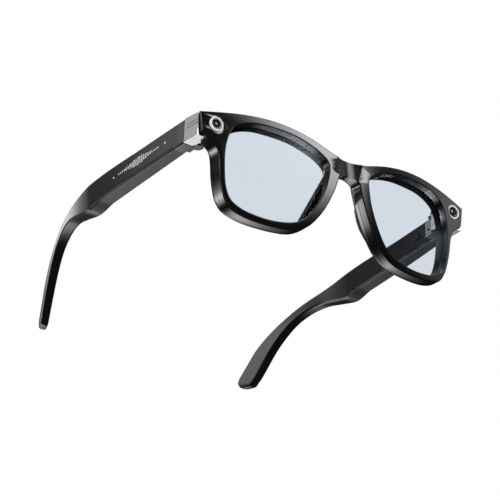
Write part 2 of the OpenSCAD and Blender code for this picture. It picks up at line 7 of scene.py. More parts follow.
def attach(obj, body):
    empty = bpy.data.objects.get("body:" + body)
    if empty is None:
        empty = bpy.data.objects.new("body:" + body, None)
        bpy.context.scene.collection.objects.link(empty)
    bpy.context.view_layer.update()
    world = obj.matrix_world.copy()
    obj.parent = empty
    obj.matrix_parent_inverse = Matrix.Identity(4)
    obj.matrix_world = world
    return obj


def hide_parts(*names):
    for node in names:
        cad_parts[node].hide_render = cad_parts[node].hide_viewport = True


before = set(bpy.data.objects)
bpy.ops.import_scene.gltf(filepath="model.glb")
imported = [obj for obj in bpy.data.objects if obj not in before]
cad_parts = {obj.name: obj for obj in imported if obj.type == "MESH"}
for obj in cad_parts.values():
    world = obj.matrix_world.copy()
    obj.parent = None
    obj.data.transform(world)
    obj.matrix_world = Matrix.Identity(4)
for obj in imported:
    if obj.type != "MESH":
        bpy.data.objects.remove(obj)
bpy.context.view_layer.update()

bpy.ops.object.select_all(action="DESELECT")

# ---------------------------------------------------------------------------------------------
# Front moulding: the visible half of the frame, injection moulded in glossy black plastic.
# It is one sheet of quads wrapped on a sphere, with the ring seats, the camera's dish, the
# bridge's valley and the endpiece pockets cut into it.
MM = 0.001
MID_Y = 83.9143
LENS_W, LENS_H, BRIDGE_W, BRIDGE_H = 50.4, 44.0, 22.0, 8.0
RIM_TOP, RIM_LOW, RIM_SIDE = 3.5, 3.1, 3.3
CORNER_OUT, CORNER_H = 8.8, 10.9
WRAP_R, WRAP_UP = 276.0, 8.0
FRONT_T, LENS_SET, LENS_T = 7.4, 2.3, 1.8
SPLIT_D = LENS_SET + LENS_T
RIM_HW = LENS_W / 2 + RIM_SIDE
RIM_UP, RIM_DN = LENS_H / 2 + RIM_TOP, LENS_H / 2 + RIM_LOW
LENS_CX, LENS_CZ = (BRIDGE_W + LENS_W) / 2, RIM_DN
WRAP_Z = LENS_CZ + WRAP_UP
CREASE_X = BRIDGE_W / 2 - 3.2
CORNER_X, CORNER_Z = LENS_CX + RIM_HW + CORNER_OUT, LENS_CZ + 0.85 * RIM_UP
BRIDGE_TOP = LENS_CZ + 0.715 * RIM_UP
ARCH_TOP = BRIDGE_TOP - BRIDGE_H
VALLEY_D, VALLEY_TILT = 1.7, 10
WELD = 2e-6  # points closer than this many metres are sewn into one
BACK_LEAN = 1.2  # how far the back of an opening leans to the nose
SIDE_ROUND = 0.05  # share of the back edge's rounding that the upright sides get
FADE_END, FADE_LEN = 4, 4  # where the rounding dies out before the brow corner

# Lens opening, rim below the brow corner and brow, as shares of their half width and half height
OPENING = [(-1, 0.43), (-0.95, 0.08), (-0.865, -0.2), (-0.75, -0.46), (-0.61, -0.7),
           (-0.45, -0.86), (-0.25, -0.95), (0.05, -1), (0.36, -0.985), (0.65, -0.91),
           (0.85, -0.76), (0.95, -0.5), (0.99, -0.15), (1, 0.21), (0.97, 0.48), (0.9, 0.7),
           (0.78, 0.86), (0.52, 0.975), (0.2, 1), (-0.26, 0.96), (-0.65, 0.83),
           (-0.88, 0.69), (-0.975, 0.58)]
RIM_LINE = [(1.03, 0.22), (0.985, 0.05), (0.955, -0.25), (0.91, -0.5), (0.85, -0.69),
            (0.73, -0.86), (0.47, -0.965), (0.12, -1), (-0.23, -0.98), (-0.43, -0.91),
            (-0.61, -0.755), (-0.78, -0.5), (-0.89, -0.265), (-0.985, -0.01), (-1.04, 0.18)]
BROW_LINE = [(-0.92, 0.74), (-0.58, 0.87), (-0.23, 0.96), (0.12, 1), (0.47, 0.99), (0.81, 0.946)]


def place(x, y, z):
    """A design point in millimetres, put in the shared frame in metres."""
    return Vector((x, y - MID_Y, z)) * MM


def curve_at(points, u, closed=False):
    """The point at parameter u of the smooth curve through the points."""
    count = len(points)
    i = math.floor(u) if closed else min(max(math.floor(u), 0), count - 2)
    t = u - i
    if closed:
        a, b, c, d = (Vector(points[(i + k) % count]) for k in (-1, 0, 1, 2))
    else:
        a, b, c, d = (Vector(points[min(max(i + k, 0), count - 1)]) for k in (-1, 0, 1, 2))
    return (2 * b + (c - a) * t + (2 * a - 5 * b + 4 * c - d) * t ** 2
            + (3 * b - a - 3 * c + d) * t ** 3) / 2


def even_points(line, count):
    """The polyline walked in equal steps: count points, without its last one."""
    lengths = [0.0]
    for a, b in zip(line, line[1:]):
        lengths.append(lengths[-1] + (b - a).length)
    out, k = [], 0
    for i in range(count):
        want = lengths[-1] * i / count
        while lengths[k + 1] < want:
            k += 1
        f = (want - lengths[k]) / (lengths[k + 1] - lengths[k])
        out.append(line[k].lerp(line[k + 1], f))
    return out


def opening_point(u, grow=0.0):
    p = curve_at(OPENING, u, closed=True)
    return Vector((LENS_CX + p.x * (LENS_W / 2 + grow), LENS_CZ + p.y * (LENS_H / 2 + grow)))


def face_y(x, z, depth=0.0):
    """How far back the surface at that depth behind the front's face lies."""
    return WRAP_R - math.sqrt((WRAP_R - depth) ** 2 - x * x - (z - WRAP_Z) ** 2)


def half_outline():
    """Stations round one half of the frame: outline point, its outward normal, opening point."""
    rim = [(CORNER_X - 1.3, CORNER_Z - CORNER_H + 1.2), (CORNER_X - 2.2, CORNER_Z - CORNER_H),
           (CORNER_X - 4.2, CORNER_Z - CORNER_H - 1.3)]
    rim += [(LENS_CX + x * RIM_HW, LENS_CZ + z * RIM_DN) for x, z in RIM_LINE]
    rim += [(BRIDGE_W / 2 - 5.7, ARCH_TOP - 2), (2.5, ARCH_TOP - 0.5), (0, ARCH_TOP)]
    brow = [(CREASE_X, BRIDGE_TOP)]
    brow += [(LENS_CX + x * RIM_HW, LENS_CZ + z * RIM_UP) for x, z in BROW_LINE]
    brow += [(CORNER_X, CORNER_Z)]

    def walk(points, u0, u1, steps=120):
        return [curve_at(points, u0 + (u1 - u0) * k / steps) for k in range(steps + 1)]

    bottom, nose, arch = 10, 17, 20
    spans = [  # outline stretch, number of stations, opening parameter at both ends
        (walk(rim, arch, nose), 12, -0.45, 0.35),
        (walk(rim, nose, bottom), 40, 0.35, 7.1),
        (walk(rim, bottom, 3), 34, 7.1, 12.7),
        (walk(rim, 3, 0), 10, 12.7, 13.7),
        ([Vector(rim[0]), Vector((CORNER_X, CORNER_Z))], 10, 13.7, 15.3),
        (walk(brow, 7, 4), 26, 15.3, 18.2),
        (walk(brow, 4, 0), 34, 18.2, 21.0),
        ([Vector((CREASE_X, BRIDGE_TOP)), Vector((0, BRIDGE_TOP))], 8, 21.0, 21.7),
        ([Vector((0, BRIDGE_TOP)), Vector((0, ARCH_TOP))], 8, 21.7, 22.55)]
    outline, inner = [], []
    for line, count, u0, u1 in spans:
        outline += even_points(line, count)
        inner += [u0 + (u1 - u0) * k / count for k in range(count)]
    stations = []
    for i, p in enumerate(outline):
        before, after = outline[i - 1], outline[(i + 1) % len(outline)]
        if abs(p.x) < 1e-6:
            normal = Vector((0, 2 * (p.y - ARCH_TOP) / BRIDGE_H - 1))
        else:
            n1 = Vector(((p - before).y, -(p - before).x)).normalized()
            n2 = Vector(((after - p).y, -(after - p).x)).normalized()
            normal = (n1 + n2) / (1 + n1.dot(n2))
        stations.append((p, normal, inner[i]))
    return stations


def sheet_from(name, rows, wrap_rows, wrap_columns):
    """A grid primitive with its vertices moved to the rows of points, sewn shut where it meets."""
    rows = [row + row[:1] for row in rows] if wrap_columns else rows
    rows = rows + rows[:1] if wrap_rows else rows
    bpy.ops.mesh.primitive_grid_add(x_subdivisions=len(rows[0]) - 1, y_subdivisions=len(rows) - 1)
    piece = bpy.context.object
    piece.name = piece.data.name = name
    for vertex, point in zip(piece.data.vertices, [p for row in rows for p in row]):
        vertex.co = point
    bpy.ops.object.transform_apply()
    bpy.ops.object.mode_set(mode="EDIT")
    bpy.ops.mesh.select_all(action="SELECT")
    bpy.ops.mesh.remove_doubles(threshold=WELD)
    bpy.ops.mesh.normals_make_consistent(inside=False)
    bpy.ops.object.mode_set(mode="OBJECT")
    return piece


def modify(piece, kind, **settings):
    """One modifier, set and applied."""
    bpy.ops.object.select_all(action="DESELECT")
    bpy.context.view_layer.objects.active = piece
    piece.select_set(True)
    modifier = piece.modifiers.new(kind.lower(), kind)
    for key, value in settings.items():
        setattr(modifier, key, value)
    bpy.ops.object.modifier_apply(modifier=modifier.name)


def cut(piece, cutter, operation="DIFFERENCE"):
    """A boolean with a cutter that is thrown away."""
    modify(piece, "BOOLEAN", object=cutter, operation=operation, solver="EXACT")
    bpy.data.objects.remove(cutter)


def smooth(piece, angle=35):
    """Smooth shading over the rounded edges, with flat faces kept flat."""
    bpy.ops.object.select_all(action="DESELECT")
    bpy.context.view_layer.objects.active = piece
    piece.select_set(True)
    bpy.ops.object.shade_smooth_by_angle(angle=math.radians(angle))
    modify(piece, "WEIGHTED_NORMAL", keep_sharp=True, weight=50)


def bar(name, radius, low, high, x, z, vertices=96, low_radius=None):
    """A round bar along Y from low to high, in millimetres."""
    bpy.ops.mesh.primitive_cone_add(vertices=vertices, radius1=radius * MM,
                                    radius2=(radius if low_radius is None else low_radius) * MM,
                                    depth=(high - low) * MM, rotation=(math.pi / 2, 0, 0),
                                    location=place(x, (low + high) / 2, z))
    piece = bpy.context.object
    piece.name = piece.data.name = name
    bpy.ops.object.transform_apply()
    return piece


def block(name, low, high):
    """A box between two corners, in millimetres."""
    low, high = place(*low), place(*high)
    bpy.ops.mesh.primitive_cube_add(size=1, location=(low + high) / 2, scale=high - low)
    piece = bpy.context.object
    piece.name = piece.data.name = name
    bpy.ops.object.transform_apply()
    return piece


def frame_half(name, profile, face_cuts):
    """One moulding of the frame. The profile gives its section: outline insets or opening growths
    with their depths, with the face between outline and opening cut into strips. A "back" inset
    fades out before the brow corner, and at the bridge's middle it is a share of the bridge."""
    rows = []
    for point, normal, u in half_outline():
        row, last = [], None
        for kind, inset, depth in profile:
            if kind == "out":
                q = point - normal * inset
            elif kind == "back":
                share = SIDE_ROUND + (1 - SIDE_ROUND) * min(1, normal.y ** 2)
                if abs(point.x) < 1e-6:
                    share = 1
                fade = min(1, max(0, (CORNER_X - FADE_END - point.x) / FADE_LEN))
                q = point - normal * inset * share * fade
            else:
                q = opening_point(u, inset)
                lean = max(0, depth - SPLIT_D) / (FRONT_T - SPLIT_D)
                q -= lean * Vector((BACK_LEAN, max(0, 2 * (q.y - LENS_CZ) / LENS_H)))
            if last and last[0] != kind:
                for k in range(1, face_cuts):
                    f = k / face_cuts
                    d = last[2] + (depth - last[2]) * f
                    m = last[1].lerp(q, f)
                    row.append(place(m.x, face_y(m.x, m.y, d), m.y))
            row.append(place(q.x, face_y(q.x, q.y, depth), q.y))
            last = (kind, q, depth)
        rows.append(row)
    piece = sheet_from(name, rows, wrap_rows=True, wrap_columns=True)
    bpy.ops.object.mode_set(mode="EDIT")
    bpy.ops.mesh.select_all(action="DESELECT")
    bpy.ops.object.mode_set(mode="OBJECT")
    for face in piece.data.polygons:
        face.select = all(abs(piece.data.vertices[v].co.x) < 1e-6 for v in face.vertices)
    bpy.ops.object.mode_set(mode="EDIT")
    bpy.ops.mesh.delete(type="FACE")
    bpy.ops.object.mode_set(mode="OBJECT")
    modify(piece, "MIRROR", use_mirror_merge=True, merge_threshold=WELD)
    bpy.ops.object.mode_set(mode="EDIT")
    bpy.ops.mesh.select_all(action="SELECT")
    bpy.ops.mesh.normals_make_consistent(inside=False)
    bpy.ops.object.mode_set(mode="OBJECT")
    return piece


OUT_X, ENDPIECE_T, RING_R, DISH_R = CORNER_X + 0.5, 5.4, 3.35, 5.0
CORNER_Y = face_y(CORNER_X, CORNER_Z)
HINGE_TOP = CORNER_Z + 0.8
TEMPLE_H, TEMPLE_T = 12.0, 6.0
ENDPIECE_Y, HINGE_Y = CORNER_Y + 1.2, CORNER_Y + 11.4
RING_X, RING_Z = CORNER_X - 7.5, CORNER_Z - 4.9
RING_Y = face_y(RING_X, RING_Z)
SEAT = RING_Y + 0.7

POCKET_Y = CORNER_Y + 0.7


def cut_pocket(piece, side):
    """The pocket behind a brow corner that the endpiece sits in."""
    x = sorted((side * (OUT_X - ENDPIECE_T), side * (OUT_X + 5)))
    cut(piece, block("pocket", (x[0], POCKET_Y, HINGE_TOP - TEMPLE_H - 4),
                     (x[1], HINGE_Y, HINGE_TOP + 4)))


front = frame_half("front_moulding", [
    ("in", 0.45, 0), ("in", 0.2, 0.06), ("in", 0.06, 0.2), ("in", 0, 0.45), ("in", 0, SPLIT_D),
    ("out", 0.12, SPLIT_D), ("out", 0, SPLIT_D - 0.12), ("out", 0, 0.6), ("out", 0.06, 0.32),
    ("out", 0.18, 0.16), ("out", 0.36, 0.05), ("out", 0.65, 0)], 12)
chord = CREASE_X - 1.3
valley_r = (chord ** 2 + VALLEY_D ** 2) / (2 * VALLEY_D)
middle = place(0, VALLEY_D - valley_r, BRIDGE_TOP - BRIDGE_H / 2)
bpy.ops.mesh.primitive_cylinder_add(vertices=256, radius=valley_r * MM, depth=0.08,
                                    rotation=(math.radians(-VALLEY_TILT), 0, 0), location=middle)
cut(front, bpy.context.object)
for side in (-1, 1):
    cut(front, bar("seat", RING_R + 0.06, -5, SEAT + 0.6, side * RING_X, RING_Z))
    cut_pocket(front, side)
cut(front, bar("dish", DISH_R - 0.8, SEAT - 5, SEAT, -RING_X, RING_Z,
               low_radius=DISH_R + 1.5))
smooth(front)


class Signal:
    """A shader socket that sums can be written with."""

    def __init__(self, tree, socket=None):
        self.tree, self.socket = tree, socket

    def node(self, kind, settings=None, inputs=None, out=0):
        made = self.tree.nodes.new(kind)
        for key, value in (settings or {}).items():
            if key == "stops":
                ramp = made.color_ramp
                while len(ramp.elements) < len(value):
                    ramp.elements.new(0.5)
                for element, (position, colour) in zip(ramp.elements, value):
                    element.position, element.color = position, colour
            else:
                setattr(made, key, value)
        for key, value in (inputs or {}).items():
            if isinstance(value, Signal):
                self.tree.links.new(value.socket, made.inputs[key])
            else:
                made.inputs[key].default_value = value
        return Signal(self.tree, made.outputs[out])

    def sum(self, operation, a, b):
        return self.node("ShaderNodeMath", {"operation": operation}, {0: a, 1: b})

    def __add__(self, other):
        return self.sum("ADD", self, other)

    def __radd__(self, other):
        return self.sum("ADD", other, self)

    def __sub__(self, other):
        return self.sum("SUBTRACT", self, other)

    def __rsub__(self, other):
        return self.sum("SUBTRACT", other, self)

    def __mul__(self, other):
        return self.sum("MULTIPLY", self, other)

    def __rmul__(self, other):
        return self.sum("MULTIPLY", other, self)


def finish_named(name, fixed, make):
    """A material: the shader's fixed numbers, and what make() gives for the sockets that vary."""
    material = bpy.data.materials.new(name)
    material.use_nodes = True
    tree = material.node_tree
    shader = tree.nodes["Principled BSDF"]
    for key, value in fixed.items():
        shader.inputs[key].default_value = value
    start = Signal(tree)
    where = start.node("ShaderNodeTexCoord", out="Object")
    for key, signal in make(start, where).items():
        tree.links.new(signal.socket, shader.inputs[key])
    return material


def noise(start, where, scale, detail=3, stretch=(1, 1, 1)):
    """Noise of that many cells per metre, stretched along the axes."""
    grain = start.node("ShaderNodeMapping", inputs={"Vector": where, "Scale": stretch})
    return start.node("ShaderNodeTexNoise",
                      inputs={"Vector": grain, "Scale": scale, "Detail": detail})


def shade(start, amount, dark, light):
    """A colour between two, by amount."""
    return start.node("ShaderNodeMix", {"data_type": "RGBA"},
                      {"Factor": amount, 6: dark, 7: light}, out=2)


def polished(dark, light, rough, spread, relief):
    """Moulded plastic: faint cloudiness in colour and gloss, and a trace of orange peel."""
    def make(start, where):
        cloud = noise(start, where, 90)
        peel = noise(start, where, 900, 2)
        scuff = noise(start, where, 400, 6, (1, 0.15, 1))
        return {"Base Color": shade(start, cloud, dark, light),
                "Roughness": rough + spread * cloud + 0.5 * spread * scuff,
                "Normal": start.node("ShaderNodeBump", inputs={"Height": peel, "Distance": relief,
                                                              "Strength": 0.06})}
    return make


frame_black = finish_named(
    "frame_black", {"IOR": 1.5, "Coat Roughness": 0.06, "Coat Weight": 0.5},
    polished((0.002, 0.002, 0.0024, 1), (0.004, 0.004, 0.0046, 1), 0.09, 0.05, 2e-6))


def dress(piece, material):
    piece.data.materials.clear()
    piece.data.materials.append(material)


dress(front, frame_black)
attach(front, "front")
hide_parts("rim_front")

# ---------------------------------------------------------------------------------------------
# Back moulding: the half behind the lenses, clipped and glued to the front one along a fine
# seam. Its outer edge is rounded off generously where it faces the wearer.
BACK_ROUND, ROUND_FROM, ROUND_STEPS = 2.2, SPLIT_D + 0.2, 8
back_round = [(0.1, SPLIT_D + 0.02), (0, SPLIT_D + 0.15)]
for step in range(1, ROUND_STEPS + 1):
    turn = math.pi / 2 * step / ROUND_STEPS
    back_round.append((BACK_ROUND * (1 - math.cos(turn)),
                       ROUND_FROM + (FRONT_T - ROUND_FROM) * math.sin(turn)))
back = frame_half("back_moulding", [("back", inset, depth) for inset, depth in back_round] + [
    ("in", 0.45, FRONT_T), ("in", 0.12, FRONT_T - 0.12), ("in", 0, FRONT_T - 0.45),
    ("in", 0, SPLIT_D + 0.02)], 4)
for side in (-1, 1):
    cut_pocket(back, side)
smooth(back)
dress(back, frame_black)
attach(back, "front")
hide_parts("rim_back")

# ---------------------------------------------------------------------------------------------
# Lenses: tinted polycarbonate ground to the frame's curve, held in a groove between the two
# mouldings.
def lens_tinted(start, where):
    haze = noise(start, where, 60, 2)
    return {"Base Color": shade(start, haze, (0.63, 0.69, 0.76, 1), (0.66, 0.72, 0.79, 1))}


lens_tint = finish_named(
    "lens_tint", {"IOR": 1.08, "Roughness": 0.0, "Transmission Weight": 1.0}, lens_tinted)
LENS_LAP, LENS_RINGS, LENS_STEPS = 0.75, 8, 4 * len(OPENING)
CENTRE_SHARE, CENTRE_WELD = 0.001, 8e-5  # the centre's tiny ring, and what sews it to a point
for side, name in ((-1, "right"), (1, "left")):
    rows = []
    stops = [k / LENS_RINGS for k in range(LENS_RINGS + 1)]
    loop = [len(OPENING) * k / LENS_STEPS for k in range(LENS_STEPS)]
    for depth, order in ((LENS_SET, stops), (SPLIT_D, stops[::-1])):
        for share in order:
            row = []
            for u in loop:
                q = opening_point(u, LENS_LAP)
                q = Vector((LENS_CX, LENS_CZ)).lerp(q, max(share, CENTRE_SHARE))
                row.append(place(side * q.x, face_y(q.x, q.y, depth), q.y))
            rows.append(row)
    lens = sheet_from("lens_" + name + "_glass", rows, wrap_rows=False, wrap_columns=True)
    bpy.ops.object.mode_set(mode="EDIT")
    bpy.ops.mesh.select_all(action="SELECT")
    bpy.ops.mesh.remove_doubles(threshold=CENTRE_WELD)
    bpy.ops.mesh.normals_make_consistent(inside=False)
    bpy.ops.object.mode_set(mode="OBJECT")
    smooth(lens)
    dress(lens, lens_tint)
    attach(lens, "front")
    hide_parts("lens_" + name)

# ---------------------------------------------------------------------------------------------
# Nose pads: low fins moulded in one with the back of the rim, beside the nose. They are the same
# polished black plastic, swelling out towards the wearer and running out at both ends.
PAD_R, PAD_CELL = 1.15, 0.22


def over_fin(share_x, share_z, side_in, out):
    """A point on the back of the rim beside the nose, stood off from it."""
    x = LENS_CX - share_x * RIM_HW + side_in
    z = LENS_CZ + share_z * RIM_DN
    return x, face_y(x, z) + FRONT_T + out, z


for side, name in ((-1, "right"), (1, "left")):
    bpy.ops.object.select_all(action="DESELECT")
    balls = []
    for share_x, share_z, side_in, out in ((1.0, 0.36, 1.6, -1.8), (0.97, 0.12, 1.5, 0.6),
                                           (0.93, -0.02, 1.4, 1.8), (0.88, -0.16, 1.4, 2.2),
                                           (0.82, -0.3, 1.4, 2.0), (0.75, -0.44, 1.5, 1.2),
                                           (0.66, -0.6, 1.6, 0), (0.54, -0.76, 1.7, -2)):
        x, y, z = over_fin(share_x, share_z, side_in, out)
        bpy.ops.mesh.primitive_ico_sphere_add(subdivisions=4, radius=PAD_R * MM,
                                              location=place(side * x, y, z))
        balls.append(bpy.context.object)
    for ball in balls:
        ball.select_set(True)
    bpy.ops.object.join()
    pad = bpy.context.object
    pad.name = pad.data.name = "pad_" + name
    bpy.ops.object.transform_apply()
    bpy.ops.object.mode_set(mode="EDIT")
    bpy.ops.mesh.select_all(action="SELECT")
    bpy.ops.mesh.convex_hull()
    bpy.ops.object.mode_set(mode="OBJECT")
    modify(pad, "REMESH", mode="VOXEL", voxel_size=PAD_CELL * MM)
    modify(pad, "SMOOTH", factor=0.5, iterations=50)
    bpy.ops.object.shade_smooth()
    dress(pad, frame_black)
    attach(pad, "front")
    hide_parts("nose_pad_" + name)

# ---------------------------------------------------------------------------------------------
# Camera and capture light: a bright ring pressed into the front at each corner, with dark glass
# behind it. The camera at the wearer's right shows its small lens, the light a round diffuser.
def turned(name, profile, x, z, steps=96):
    """A solid of revolution about a line along Y: (radius, y) pairs in millimetres, spun round."""
    bpy.ops.mesh.primitive_circle_add(vertices=len(profile))
    piece = bpy.context.object
    piece.name = piece.data.name = name
    for vertex, (radius, y) in zip(piece.data.vertices, profile):
        vertex.co = place(x + radius, y, z)
    centre = place(x, 0, z)
    bpy.ops.object.mode_set(mode="EDIT")
    bpy.ops.mesh.select_all(action="SELECT")
    bpy.ops.mesh.spin(steps=steps, angle=2 * math.pi, center=centre, axis=(0, 1, 0))
    bpy.ops.mesh.select_all(action="SELECT")
    bpy.ops.mesh.remove_doubles(threshold=5e-6)
    bpy.ops.mesh.normals_make_consistent(inside=False)
    bpy.ops.object.mode_set(mode="OBJECT")
    return piece


def enamel(start, where):
    speck = noise(start, where, 1500, 2)
    return {"Base Color": shade(start, speck, (0.8, 0.8, 0.8, 1), (0.9, 0.9, 0.9, 1)),
            "Roughness": 0.2 + 0.08 * speck}


def deep_glass(start, where):
    sweep = noise(start, where, 250, 1)
    return {"Base Color": shade(start, sweep, (0.002, 0.002, 0.003, 1), (0.006, 0.006, 0.01, 1)),
            "Roughness": 0.03 + 0.03 * sweep}


def coating_and_painted_sheen(start, where):
    # Painted sheen: the base colour turns lighter and purplish towards grazing angles, in place of
    # the coating's tinted reflection; the noise only varies the gloss.
    facing = start.node("ShaderNodeLayerWeight", inputs={"Blend": 0.35}, out="Facing")
    speck = noise(start, where, 900, 1)
    return {"Base Color": shade(start, facing, (0.004, 0.004, 0.01, 1), (0.03, 0.02, 0.04, 1)),
            "Roughness": 0.02 + 0.02 * speck}


bright_ring = finish_named("bright_ring", {"IOR": 1.5, "Coat Weight": 0.4}, enamel)
dark_glass = finish_named("dark_glass", {"IOR": 1.5}, deep_glass)
coated_glass = finish_named("coated_glass", {"IOR": 1.6}, coating_and_painted_sheen)
WINDOW_R = RING_R - 0.62
for side, name in ((-1, "camera"), (1, "light")):
    ring = turned(name + "_bezel", [
        (WINDOW_R, SEAT + 0.5), (WINDOW_R, SEAT - 0.75), (WINDOW_R + 0.05, SEAT - 0.9),
        (WINDOW_R + 0.2, SEAT - 1), (RING_R - 0.2, SEAT - 1), (RING_R - 0.06, SEAT - 0.92),
        (RING_R, SEAT - 0.75), (RING_R, SEAT + 0.5)], side * RING_X, RING_Z)
    smooth(ring)
    dress(ring, bright_ring)
    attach(ring, "front")
    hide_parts(name + "_ring")
    inner = 1.5 if side < 0 else 1.75
    glass = turned(name + "_glass", [
        (0, SEAT - 0.02), (WINDOW_R - 0.01, SEAT - 0.02), (WINDOW_R - 0.01, SEAT - 0.55),
        (WINDOW_R - 0.1, SEAT - 0.62), (inner + 0.18, SEAT - 0.66), (inner + 0.08, SEAT - 0.6),
        (inner, SEAT - 0.5), (inner - 0.3, SEAT - 0.3), (0, SEAT - 0.3)], side * RING_X, RING_Z)
    smooth(glass)
    dress(glass, dark_glass)
    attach(glass, "front")
    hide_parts(name + "_window")
    eye = turned(name + "_eye", [(0, SEAT - 0.25), (inner - 0.35, SEAT - 0.25)] + [
        ((inner - 0.35) * math.cos(math.radians(a)), SEAT - 0.32 - 0.25 * math.sin(math.radians(a)))
        for a in (0, 15, 30, 45, 60, 75, 90)], side * RING_X, RING_Z)
    smooth(eye)
    dress(eye, coated_glass)
    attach(eye, "front")

# ---------------------------------------------------------------------------------------------
# Endpieces: satin zinc castings that carry the hinges behind the brow corners. Two fine grooves
# are milled along the outer face, and the edges are broken.
def select_where(piece, test):
    """Vertices picked by their place, in edit mode, ready for the next operator."""
    bpy.ops.object.mode_set(mode="OBJECT")
    for face in piece.data.polygons:
        face.select = False
    for edge in piece.data.edges:
        edge.select = False
    for vertex in piece.data.vertices:
        vertex.select = test(vertex.co)
    bpy.ops.object.mode_set(mode="EDIT")
    bpy.ops.mesh.select_mode(type="VERT")


def satin(start, where):
    brushed = noise(start, where, 2500, 3, (1, 0.06, 1))
    cloud = noise(start, where, 120, 2)
    return {"Base Color": shade(start, cloud, (0.68, 0.68, 0.69, 1), (0.76, 0.76, 0.77, 1)),
            "Roughness": 0.18 + 0.12 * brushed,
            "Normal": start.node("ShaderNodeBump", inputs={"Height": brushed, "Distance": 8e-6,
                                                          "Strength": 0.3})}


satin_metal = finish_named("satin_metal", {"Metallic": 1.0}, satin)
PIN_X, EAR_R = OUT_X - TEMPLE_T - 1.4, 2.6
JOINT = 0.15
for side, name in ((-1, "right"), (1, "left")):
    y1 = HINGE_Y - JOINT
    x = sorted((side * (OUT_X - ENDPIECE_T), side * OUT_X))
    shell = block("endpiece_shell_" + name, (x[0], ENDPIECE_Y, HINGE_TOP - TEMPLE_H),
                  (x[1], y1, HINGE_TOP))
    front_edge = place(0, ENDPIECE_Y, 0).y
    bpy.ops.object.select_all(action="DESELECT")
    shell.select_set(True)
    select_where(shell, lambda co: co.y < front_edge + 1e-6 and co.z > place(0, 0, 40).z)
    bpy.ops.transform.translate(value=(0, 0, -0.8 * MM))
    select_where(shell, lambda co: co.y < front_edge + 1e-6 and abs(co.x) > 0.07)
    bpy.ops.transform.translate(value=(-side * 0.5 * MM, 0, 0))
    bpy.ops.object.mode_set(mode="OBJECT")
    bpy.ops.mesh.primitive_cylinder_add(vertices=64, radius=(EAR_R + 0.3) * MM, depth=0.1,
                                        location=place(side * PIN_X, HINGE_Y, 40))
    cut(shell, bpy.context.object)
    for drop in (4, 5.6):
        groove = block("groove", (side * CORNER_X - 0.4, ENDPIECE_Y - 1, HINGE_TOP - drop - 0.2),
                       (side * CORNER_X + 0.4, y1 - 2, HINGE_TOP - drop + 0.2))
        turn = Matrix.Rotation(-side * math.atan(0.5 / (y1 - ENDPIECE_Y)), 4, "Z")
        corner = Matrix.Translation(place(side * CORNER_X, ENDPIECE_Y, 0))
        groove.data.transform(corner @ turn @ corner.inverted())
        cut(shell, groove)
    modify(shell, "BEVEL", width=0.22 * MM, segments=3, limit_method="ANGLE",
           angle_limit=math.radians(40), harden_normals=False)
    smooth(shell, 40)
    dress(shell, satin_metal)
    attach(shell, "front")
    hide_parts("endpiece_" + name)

# ---------------------------------------------------------------------------------------------
# Temples: hollow mouldings in glossy black, deep where they hold the electronics and tapering
# into down-turned tips. A cover closes each from below along a fine seam.
GRIP, TEMPLE_LEN, SLOPE, SPLAY, TIP_IN, TIP_W, BOW = 74.0, 146.0, 3.2, 2.2, 16.7, 9.6, 1.4
HOOK_Y, TIP_Y = HINGE_Y + GRIP, HINGE_Y + TEMPLE_LEN
HOOK_LEN = TIP_Y - HOOK_Y
TIP_BACK_R, TIP_FRONT_R, BULGE, COVER_T = 3.5, 2.6, 1.2, 1.2
CROWN, CROWN_FROM, CROWN_LEN = 0.9, 28, 72
HOOK_TOP = [(0.14, 0.968), (0.285, 0.929), (0.43, 0.874), (0.57, 0.784), (0.71, 0.649),
            (0.84, 0.472), (0.93, 0.275)]
HOOK_LOW = [(0.135, 0.734), (0.29, 0.775), (0.44, 0.745), (0.575, 0.645), (0.708, 0.43),
            (0.835, 0.11)]
HOOK_PLAN = [(0, 0, 1), (0.26, 0.07, 0.94), (0.55, 0.33, 0.86), (0.79, 0.66, 0.77),
             (0.93, 0.886, 0.7), (1.02, 1.03, 0.67)]


def top_z(y):
    return HINGE_TOP - math.tan(math.radians(SLOPE)) * (y - HINGE_Y)


def crown(y):
    """How far the upper edge rises over the straight line, behind the button."""
    along = min(1, max(0, (y - HINGE_Y - CROWN_FROM) / CROWN_LEN))
    return CROWN * math.sin(math.pi * along) ** 2


def hook_point(p):
    return HOOK_Y + p[0] * HOOK_LEN, p[1] * top_z(HOOK_Y)


def plan_x(y):
    return OUT_X + math.tan(math.radians(SPLAY)) * (y - HINGE_Y)


def bow(y):
    return BOW * math.sin(math.pi * min(1, (y - HINGE_Y) / (0.74 * TEMPLE_LEN)))


def side_edges():
    """The outer and the inner face of the hook seen from above, as x against y."""
    edges = []
    for inner in (0, 1):
        before = HOOK_Y - 0.26 * HOOK_LEN
        points = [(before, plan_x(before) - inner * TEMPLE_T + (1 - inner) * bow(before))]
        for a, b, c in HOOK_PLAN:
            y = HOOK_Y + a * HOOK_LEN
            x = plan_x(HOOK_Y) - b * TIP_IN
            points.append((y, x - inner * c * TEMPLE_T + (1 - inner) * bow(y)))
        edges.append([curve_at(points, 1 + (len(points) - 2) * k / 200) for k in range(201)])
    return edges


EDGES = side_edges()


def face_x(y, inner):
    if y <= HOOK_Y:
        return plan_x(y) - TEMPLE_T if inner else plan_x(y) + bow(y)
    line = EDGES[inner]
    k = next((i for i, p in enumerate(line) if p.x >= y), len(line) - 1)
    a, b = line[max(k - 1, 0)], line[k]
    return a.y + (b.y - a.y) * ((y - a.x) / (b.x - a.x) if b.x > a.x else 0)


